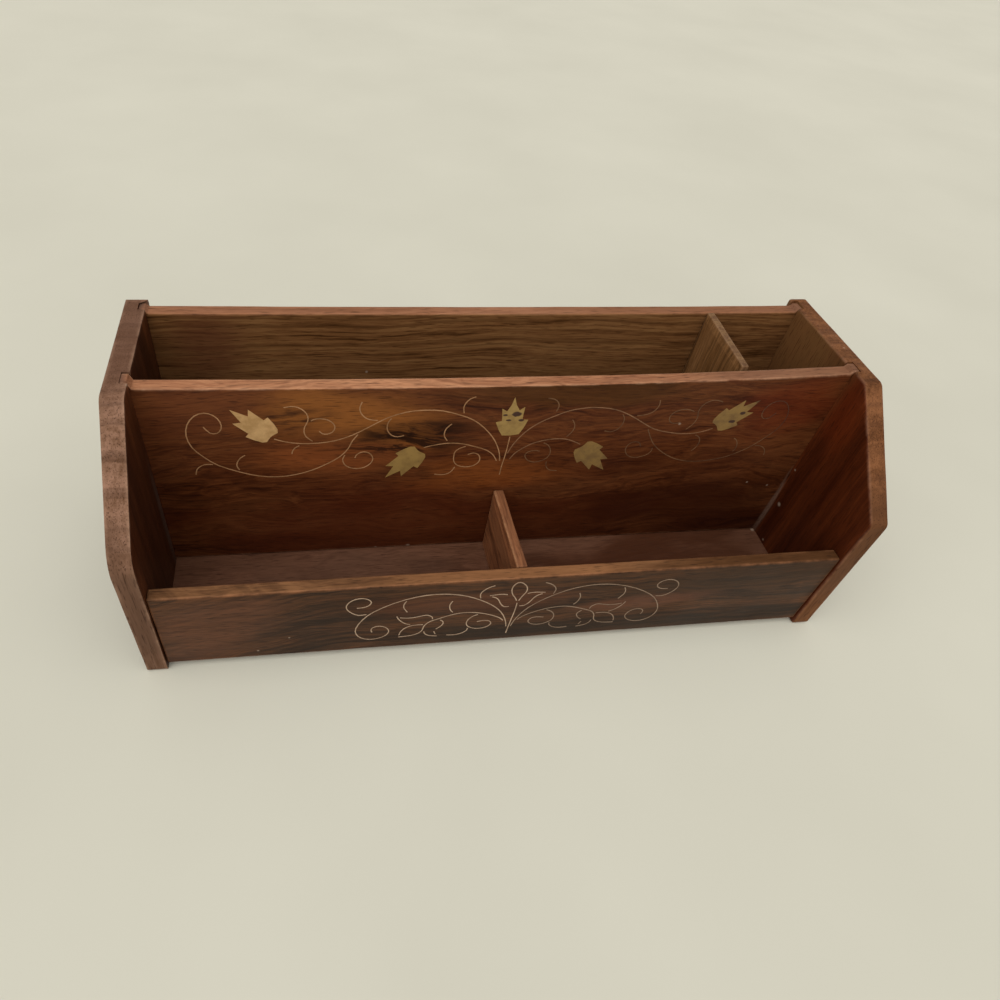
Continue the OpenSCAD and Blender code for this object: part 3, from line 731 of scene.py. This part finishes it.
@dataclass
class SidePanel:
    """A five-sided side panel with its housings for the boards. Sizes in mm."""

    name: str
    node: str
    side: int
    finish: Rosewood
    top_l: float = 65.2
    front_h: float = 70.5
    housing: float = 3.0
    room: float = 0.1
    corners: tuple[float, ...] = (1.5, 1.5, 1.5, 1.5, 1.5)
    round_mm: float = 1.0
    step_mm: float = 9.0
    uneven_mm: float = 0.25

    def build(self) -> bpy.types.Object:
        """Builds and dresses the side panel.

        Returns:
            The piece.
        """
        low, high = (Vector(corner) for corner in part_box(self.node))
        point = Vector((0, high.y - self.top_l * MM, high.z))
        run = Vector((0, point.y - low.y, high.z - self.front_h * MM))
        normal = Vector((0, -run.z, run.y)).normalized()
        material = self.finish.material(self.name, low, high, Grain.UPRIGHT, (point, normal))
        bm = bmesh.new()
        bmesh.ops.create_cube(bm, size=1.0)
        size = high - low
        size.x -= self.housing * MM
        bmesh.ops.scale(bm, vec=size, verts=bm.verts)
        middle = (low + high) / 2
        middle.x += self.side * self.housing * MM / 2
        bmesh.ops.translate(bm, vec=middle, verts=bm.verts)
        cut = bmesh.ops.bisect_plane(bm, geom=[*bm.verts, *bm.edges, *bm.faces], plane_co=point,
                                     plane_no=normal, clear_outer=True)
        rim = [item for item in cut["geom_cut"] if isinstance(item, bmesh.types.BMEdge)]
        bmesh.ops.contextual_create(bm, geom=rim)
        self._raise_inside(bm, low, high)
        self._round(bm, low, high)
        keep_planed(bm)
        wear_edges(bm, self.uneven_mm * MM)
        for vert in bm.verts:
            vert.co.z = min(vert.co.z, high.z)
        return finish_piece(bm, self.name, [self.node], material)

    def _raise_inside(self, bm: Mesh, low: Vector, high: Vector) -> None:
        """Thickens the panel on its inside, everywhere but in the housings of the boards.

        Args:
            bm: the mesh of the outer layer.
            low: lowest corner of the whole panel, in metres; not used.
            high: highest corner of the whole panel, in metres; not used.
        """
        room = self.room * MM
        back, middle, floor = (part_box(node) for node in ("back_panel", "middle_panel", "bottom_board"))
        cuts = (back[0][1] - room, back[1][1] + room, middle[0][1] - room, middle[1][1] + room, floor[0][1])
        cut_across(bm, 1, cuts)
        cut_across(bm, 2, (floor[0][2] - room, floor[1][2] + room))
        inner = [face for face in bm.faces if face.normal.x * self.side < -0.9]

        def housed(face: bmesh.types.BMFace) -> bool:
            """Tells whether a face of the inside is the bottom of a housing.

            Args:
                face: the face.

            Returns:
                True for a face that stays low.
            """
            _, y, z = face.calc_center_median()
            in_back = cuts[0] < y < cuts[1] and z > floor[0][2] - room
            in_middle = cuts[2] < y < cuts[3] and z > floor[1][2]
            in_floor = cuts[4] < y < cuts[0] and floor[0][2] - room < z < floor[1][2] + room
            return in_back or in_middle or in_floor

        pads = [face for face in inner if not housed(face)]
        made = bmesh.ops.extrude_face_region(bm, geom=pads)
        raised = [item for item in made["geom"] if isinstance(item, bmesh.types.BMVert)]
        bmesh.ops.translate(bm, vec=(-self.side * self.housing * MM, 0, 0), verts=raised)
        bmesh.ops.delete(bm, geom=pads, context="FACES_ONLY")
        bmesh.ops.remove_doubles(bm, verts=bm.verts, dist=TOUCH)
        bmesh.ops.dissolve_limit(bm, angle_limit=math.radians(1), verts=bm.verts, edges=bm.edges)

    def _round(self, bm: Mesh, low: Vector, high: Vector) -> None:
        """Rounds the corners of the outline and then its long edges.

        Args:
            bm: the mesh.
            low: lowest corner of the panel, in metres.
            high: highest corner of the panel, in metres.
        """
        marks = ((low.y, low.z), (high.y, low.z), (high.y, high.z), (high.y - self.top_l * MM, high.z),
                 (low.y, self.front_h * MM))
        for (y, z), radius in zip(marks, self.corners):
            corner = [edge for edge in bm.edges if all(abs(v.co.y - y) + abs(v.co.z - z) < NEAR
                                                       for v in edge.verts)]
            bmesh.ops.bevel(bm, geom=corner, offset=radius * MM, offset_type="OFFSET",
                            segments=CORNER_SEGMENTS, profile=0.5, affect="EDGES", material=-1,
                            clamp_overlap=True)
        cut_across(bm, 1, spread(low.y, high.y, self.step_mm * MM))
        cut_across(bm, 2, spread(low.z, high.z, self.step_mm * MM))
        rims = [edge for edge in bm.edges if self._on_rim(edge, low, high)]
        made = bmesh.ops.bevel(bm, geom=rims, offset=self.round_mm * MM, offset_type="OFFSET",
                               segments=EDGE_SEGMENTS, profile=0.5, affect="EDGES", material=-1,
                               clamp_overlap=True)
        for face in made["faces"]:
            face.smooth = True

    def _on_rim(self, edge: bmesh.types.BMEdge, low: Vector, high: Vector) -> bool:
        """Tells whether an edge is part of the outline, on the outer or the inner face.

        Args:
            edge: the edge.
            low: lowest corner of the panel, in metres.
            high: highest corner of the panel, in metres.

        Returns:
            True for an edge between the outline and one of the two wide faces.
        """
        xs = [vert.co.x for vert in edge.verts]
        flat = all(min(abs(x - low.x), abs(x - high.x)) < TOUCH for x in xs) and abs(xs[0] - xs[1]) < TOUCH
        if not flat or len(edge.link_faces) != 2:
            return False
        if edge.calc_face_angle() < math.radians(45):
            return False
        rim = min(edge.link_faces, key=lambda face: abs(face.normal.x))
        middle = rim.calc_center_median()
        outward = Vector((0, middle.y - (low.y + high.y) / 2, middle.z - (low.z + high.z) / 2))
        slope = Vector((0, -1, 1)).normalized()
        on_box = min(abs(middle.y - low.y), abs(middle.y - high.y), abs(middle.z - low.z),
                     abs(middle.z - high.z)) < RIM_ROOM * MM
        blunt = 0.3 < rim.normal.dot(slope) and outward.dot(rim.normal) > 0 and abs(rim.normal.y) > 0.02 \
            and abs(rim.normal.z) > 0.02
        return on_box or blunt


@dataclass
class Carcass:
    """The eight boards of the organizer."""

    middle: Rosewood = Rosewood(
        dark="#2c1208", middle="#532a14", light="#6b3d20", edge_dark="#8f5c3f", edge_light="#bc8560",
        rubbed="#be906f", layer_mm=13.0, line_mm=2.4, line_share=0.3, pith_across_mm=66.0, pith_deep_mm=40.0,
        warp_mm=14.0, wave_mm=9.0, seed=3.7, rub=0.45, gloss=0.12,
        # The first two areas darken the lower part of the face towards the floor: painted shade, for the
        # shade deep in the tray.
        stains_and_painted_light=(StainAndPaintedLight(-40, 26, 130, 30, "#4f2210", 0.7),
                StainAndPaintedLight(104, 34, 74, 36, "#2e0f05", 0.75),
                StainAndPaintedLight(-120, 98, 34, 16, "#6b3a1e", 0.5),
                StainAndPaintedLight(-66, 91, 50, 16, "#925928", 0.75, lean=-4),
                StainAndPaintedLight(-88, 91, 20, 7, "#2a130a", 0.75, 0.9),
                StainAndPaintedLight(-74, 71, 34, 13, "#8c4c25", 0.7, 0.2),
                StainAndPaintedLight(-36, 85, 46, 6, "#1a0a04", 0.85, 0.5, 2),
                StainAndPaintedLight(-44, 79, 44, 9, "#1e0c05", 0.9, 0.95, 8),
                StainAndPaintedLight(26, 102, 62, 11, "#46290c", 0.7),
                StainAndPaintedLight(-6, 57, 40, 10, "#86481e", 0.6, 0.3, -3),
                StainAndPaintedLight(126, 90, 26, 22, "#642812", 0.55),
                # A pale grey line along the joint with the right cheek: painted highlight.
                StainAndPaintedLight(144, 34, 1.6, 26, "#7a6152", 0.6),
                StainAndPaintedLight(118, 109, 62, 14, "#75503a", 0.75, on_edge=True),
                StainAndPaintedLight(-149, 109, 7, 14, "#66493a", 1.0, on_edge=True),
                StainAndPaintedLight(149, 109, 7, 14, "#75503a", 1.0, on_edge=True)),
        drops=((-52.7, 11.4, -2.8, 0.7), (-37.2, 11.7, -2.8, 0.9), (124.3, 46.2, -2.8, 0.5),
               (136.0, 43.5, -2.8, 0.5), (75.8, 84.2, -2.8, 0.6)))
    back: Rosewood = Rosewood(
        dark="#422710", middle="#754e2d", light="#8b633c", edge_dark="#87593e", edge_light="#a77455",
        layer_mm=7.0, line_mm=2.4, line_share=0.4, pith_across_mm=-30.0, pith_deep_mm=20.0,
        warp_mm=6.0, wave_mm=2.5, seed=11.2, rub=0.4, gloss=0.12,
        stains_and_painted_light=(StainAndPaintedLight(-122, 92, 20, 18, "#5a3220", 0.6),
                StainAndPaintedLight(-149, 108, 7, 14, "#644a3c", 1.0, on_edge=True),
                StainAndPaintedLight(95, 108, 80, 14, "#80553a", 0.6, on_edge=True),
                StainAndPaintedLight(149, 108, 7, 14, "#7a543e", 1.0, on_edge=True)),
        drops=((-54.6, 78.3, 45.1, 0.6),))
    front: Rosewood = Rosewood(
        dark="#25160c", middle="#452c1a", light="#5c3921", edge_dark="#4f321e", edge_light="#835b3b",
        layer_mm=8.0, line_mm=2.8, line_share=0.6, edge_lines=0.2, pith_across_mm=-24.0, pith_deep_mm=20.0,
        sweep=0.4, knee_mm=-80.0, warp_mm=5.0, seed=5.1, rub=0.4, gloss=0.12,
        stains_and_painted_light=(StainAndPaintedLight(-122, 26, 34, 28, "#66412d", 0.65, 0.3),
                StainAndPaintedLight(-84, 20, 40, 20, "#1c110a", 0.7, 0.95, 20),
                StainAndPaintedLight(-20, 33, 50, 9, "#5b3420", 0.5), StainAndPaintedLight(60, 8, 120, 13, "#271b12", 0.65),
                StainAndPaintedLight(60, 26, 34, 5, "#673f2a", 0.65, lean=4), StainAndPaintedLight(100, 40, 66, 10, "#34200f", 0.75, 0.4),
                StainAndPaintedLight(112, 48, 66, 12, "#45280f", 0.75, on_edge=True),
                StainAndPaintedLight(0, 48, 60, 12, "#94643f", 0.5, on_edge=True)),
        drops=((-93.1, 16.6, -53.1, 0.4), (-106.5, 8.2, -53.1, 0.5)))
    floor: Rosewood = Rosewood(
        dark="#3f261a", middle="#5b3b2a", light="#6f4b38", layer_mm=10.0, line_share=0.2,
        pith_across_mm=-20.0, pith_deep_mm=40.0, seed=8.4, roughness=0.5, rub=0.2, gloss=0.12,
        stains_and_painted_light=(StainAndPaintedLight(80, -24, 76, 34, "#42210f", 0.8), StainAndPaintedLight(-75, -22, 60, 26, "#5f4434", 0.4)),
        drops=((143.0, -3.4, 10.8, 0.9),))
    left: Rosewood = Rosewood(
        dark="#2c1509", middle="#4a2614", light="#62371f", edge_dark="#64452f", edge_light="#95705a",
        rubbed="#a5826a", layer_mm=9.0, line_mm=5.0, line_share=0.35, edge_lines=0.3, pith_across_mm=-90.0,
        pith_deep_mm=148.0, warp_mm=3.0, wave_mm=1.5, contrast=0.9, seed=1.3, rub=0.5, gloss=0.1,
        # The first area darkens nearly the whole panel: painted shade, as its inner face gets little light.
        # The second, a pale grey line along the joint with the middle board, is a painted highlight.
        stains_and_painted_light=(StainAndPaintedLight(55, 0, 80, 90, "#2f170d", 0.6), StainAndPaintedLight(48, -5.5, 38, 3.2, "#5a4a42", 0.5),
                StainAndPaintedLight(110.5, 24, 6, 60, "#5f4232", 0.75, on_edge=True),
                StainAndPaintedLight(50, -53, 48, 17, "#5c4131", 0.7, on_edge=True)),
        drops=((110.5, -3.9, -143.6, 0.8),))
    right: Rosewood = Rosewood(
        dark="#2e1206", middle="#502410", light="#6f3619", edge_dark="#573318", edge_light="#815332",
        rubbed="#92684e", layer_mm=9.0, line_mm=5.0, line_share=0.3, pith_across_mm=-80.0,
        pith_deep_mm=-148.0, warp_mm=4.0, wave_mm=2.0, seed=6.6, rub=0.5, gloss=0.12,
        stains_and_painted_light=(StainAndPaintedLight(60, -30, 70, 60, "#3d1708", 0.6), StainAndPaintedLight(92, -10, 22, 12, "#6a2a0f", 0.5),
                # The second area on the line below, a pale grey line along the joint with the middle board,
                # is a painted highlight.
                StainAndPaintedLight(90, 30, 60, 34, "#7a5532", 0.85), StainAndPaintedLight(34, -3.3, 24, 1.5, "#7a6152", 0.6),
                StainAndPaintedLight(58, -51, 50, 20, "#56351d", 0.75, on_edge=True)),
        drops=((35.0, -8.0, 144.0, 1.0), (55.2, -4.8, 144.0, 0.5), (12.8, -11.8, 144.0, 0.6),
               (110.5, -0.2, 140.5, 0.6), (110.5, 14.1, 149.1, 0.4)))
    divider: Rosewood = Rosewood(
        dark="#54301c", middle="#8c5838", light="#a26c48", edge_dark="#4f2d1a", edge_light="#8c5b3b",
        rubbed="#b88a63", layer_mm=6.0, pith_across_mm=20.0, pith_deep_mm=40.0, warp_mm=5.0, seed=9.9)
    rear_divider: Rosewood = Rosewood(
        dark="#4c3219", middle="#7a5430", light="#946a42", edge_dark="#5a3c27", edge_light="#80603f",
        rubbed="#8f6f52", layer_mm=8.0, pith_across_mm=90.0, pith_deep_mm=-101.0, warp_mm=5.0, seed=14.5)

    def build(self) -> None:
        """Builds all the boards."""
        boards = (
            Board("back_board", "back_panel", Grain.PANEL, self.back, hollow_mm=0.6, hollow_at_mm=10.0,
                  housed=True, end_rise_mm=1.2),
            Board("middle_board", "middle_panel", Grain.PANEL, self.middle, face_back_mm=0.05, hollow_mm=2.4,
                  hollow_at_mm=25.0, low_left_mm=1.5, housed=True, end_rise_mm=1.2),
            Board("front_board", "front_panel", Grain.PANEL, self.front, face_back_mm=0.05),
            Board("floor_board", "bottom_board", Grain.FLOOR, self.floor, round_mm=0.3),
            Board("tray_divider", "front_divider", Grain.DIVIDER, self.divider, round_mm=0.8, step_mm=6.0,
                  thick_mm=5.0, slant_mm=-1.0, uneven_mm=0.5),
            Board("slot_divider", "rear_divider", Grain.UPRIGHT, self.rear_divider, round_mm=0.8, step_mm=4.0,
                  uneven_mm=0.7, slant_mm=2.0),
        )
        for board in boards:
            board.build()
        SidePanel("left_cheek", "left_side", -1, self.left, corners=(1.5, 1.5, 3.0, 2.0, 7.0)).build()
        SidePanel("right_cheek", "right_side", 1, self.right).build()


@dataclass
class Inlay:
    """The brass of the vine in the middle board and of the scroll in the front board."""

    leaf: InlaidBrass = InlaidBrass(bright="#d4ab76", dull="#b8905c")
    inner_leaf: InlaidBrass = InlaidBrass(bright="#a58449", dull="#91723f")
    old_leaf: InlaidBrass = InlaidBrass(bright="#967642", dull="#80623a")
    flower: InlaidBrass = InlaidBrass(bright="#ab8c52", dull="#947644")
    wire: InlaidBrass = InlaidBrass(bright="#b68960", dull="#916944", worn=0.15)
    dim: InlaidBrass = InlaidBrass(bright="#946c4c", dull="#6a4b32", groove="#46220f", worn=0.2)
    faint: InlaidBrass = InlaidBrass(bright="#7a5638", dull="#553822", groove="#46220f", worn=0.4)
    scroll: InlaidBrass = InlaidBrass(bright="#bba087", dull="#9a8069")
    right_scroll: InlaidBrass = InlaidBrass(bright="#98806b", dull="#7e6652")
    flower_holes: Ovals = (
        (2.3, 91.7, 1.9, 1.3, 1.0), (-2.4, 91.4, 1.0, 0.5, 1.0), (-0.6, 88.7, 1.2, 0.5, 1.0),
        (4.8, 88.5, 1.2, 0.6, 1.0))
    leaf_holes: Ovals = (
        (99.8, 84.8, 1.5, 0.8, 1.0), (103.0, 89.3, 1.2, 0.9, 1.0), (110.0, 98.0, 5.0, 4.0, 0.8))
    worn_end: Ovals = ((130.0, 94.0, 18.0, 17.0, 0.97),)

    def dress(self) -> None:
        """Gives each inlaid piece of the CAD model its metal."""
        for name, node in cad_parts.items():
            finish, gone = self._choice(name)
            if finish is None:
                continue
            node.data.materials.clear()
            node.data.materials.append(finish.material(name, gone))
            log.info("%s: %s", name, node.data.materials[0].name)

    def _choice(self, name: str) -> tuple[Optional[InlaidBrass], Ovals]:
        """Picks the metal of a piece and the places where it is worn away.

        Args:
            name: the CAD node's name.

        Returns:
            The finish, or None for a piece that isn't brass, and its worn ovals.
        """
        if name.startswith("front_") and name not in ("front_panel", "front_divider"):
            return (self.right_scroll if name.startswith("front_right") else self.scroll), ()
        if name == "vine_flower":
            return self.flower, self.flower_holes
        if name == "right_outer_leaf":
            return self.old_leaf, self.leaf_holes
        if name.endswith("_leaf"):
            bright = {"left_outer_leaf": self.leaf, "left_inner_leaf": self.inner_leaf}
            return bright.get(name, self.old_leaf), ()
        if name.startswith("right_") and name.endswith(("_vine", "_tendrils")):
            finish = self.faint if name in ("right_sweep_vine", "right_tendrils") else self.dim
            return finish, self.worn_end
        if name.endswith(("_vine", "_tendrils", "_stem")):
            return self.wire, ()
        return None, ()


@dataclass
class Pins:
    """The panel pins through the side panels."""

    finish: PinSteel = PinSteel()

    def dress(self) -> None:
        """Gives the pins of the CAD model their steel."""
        for name in ("left_pins", "right_pins"):
            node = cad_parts[name]
            node.data.materials.clear()
            node.data.materials.append(self.finish.material(name))
            log.info("%s: %s", name, node.data.materials[0].name)


@dataclass
class Studio:
    """Camera, table top and light. Angles in degrees, sizes in mm, places on the picture in its pixels."""

    eye: tuple[float, float, float] = (-79.1, -216.1, 271.9)
    down: float = 46.94
    to_right: float = 12.59
    roll: float = 6.78
    focal_px: float = 705.0
    middle_px: tuple[float, float] = (423.9, 507.6)
    picture_px: float = 1000.0
    sensor: float = 36.0
    nearest: float = 10.0
    top_size: float = 9000.0
    room_colour: str = "#fff8ee"
    room_light: float = 0.35
    backdrop: float = 0.72
    lamps: tuple[tuple[str, tuple[float, float, float], float, float], ...] = (
        ("window", (-0.75, -0.55, 1.0), 70.0, 1.35), ("ceiling", (0.15, -0.45, 1.0), 80.0, 1.25))

    def build(self) -> None:
        """Builds the scene around the object."""
        self._camera()
        self._table()
        self._lights()
        bpy.context.scene.view_settings.view_transform = "Standard"

    def _camera(self) -> None:
        """Sets up the camera at the photograph's place."""
        data = bpy.data.cameras.new("camera")
        data.sensor_width = self.sensor
        data.lens = self.focal_px / self.picture_px * self.sensor
        data.shift_x = (self.picture_px / 2 - self.middle_px[0]) / self.picture_px
        data.shift_y = (self.middle_px[1] - self.picture_px / 2) / self.picture_px
        data.clip_start = self.nearest * MM
        camera = bpy.data.objects.new("camera", data)
        turn = (Matrix.Rotation(-math.radians(self.to_right), 4, "Z")
                @ Matrix.Rotation(math.radians(90 - self.down), 4, "X")
                @ Matrix.Rotation(math.radians(self.roll), 4, "Z"))
        camera.matrix_world = Matrix.Translation(Vector(self.eye) * MM) @ turn
        bpy.context.scene.collection.objects.link(camera)
        bpy.context.scene.camera = camera

    def _table(self) -> None:
        """Lays the pale table top."""
        bm = bmesh.new()
        bmesh.ops.create_grid(bm, x_segments=1, y_segments=1, size=self.top_size * MM / 2)
        mesh = bpy.data.meshes.new("table_top")
        bm.to_mesh(mesh)
        bm.free()
        mesh.materials.append(PaleTop().material())
        table = bpy.data.objects.new("table_top", mesh)
        bpy.context.scene.collection.objects.link(table)

    def _lights(self) -> None:
        """Sets two wide soft lights, far off so that they fall evenly, and the room's light."""
        for name, place, spread_deg, power in self.lamps:
            data = bpy.data.lights.new(name, "SUN")
            data.angle = math.radians(spread_deg)
            data.energy = power
            lamp = bpy.data.objects.new(name, data)
            lamp.rotation_euler = (-Vector(place)).to_track_quat("-Z", "Y").to_euler()
            bpy.context.scene.collection.objects.link(lamp)
        world = bpy.data.worlds.new("room")
        world.use_nodes = True
        tree = world.node_tree
        tree.nodes.clear()
        rays = add(tree, "LightPath").node.outputs
        seen = add(tree, "Math", {0: rays["Is Camera Ray"], 1: rays["Is Glossy Ray"]}, operation="MAXIMUM")
        seen = add(tree, "Math", {0: seen, 1: rays["Is Transmission Ray"]}, operation="MAXIMUM")
        level = add(tree, "MapRange", {0: seen, 3: self.room_light, 4: self.backdrop})
        back = add(tree, "Background", {"Color": linear(self.room_colour), "Strength": level})
        add(tree, "OutputWorld", {0: back})
        bpy.context.scene.world = world


def main() -> None:
    """Builds the whole scene."""
    Studio().build()
    Carcass().build()
    Inlay().dress()
    Pins().dress()
    log.info("scene built")


if __name__ == "__main__":
    main()
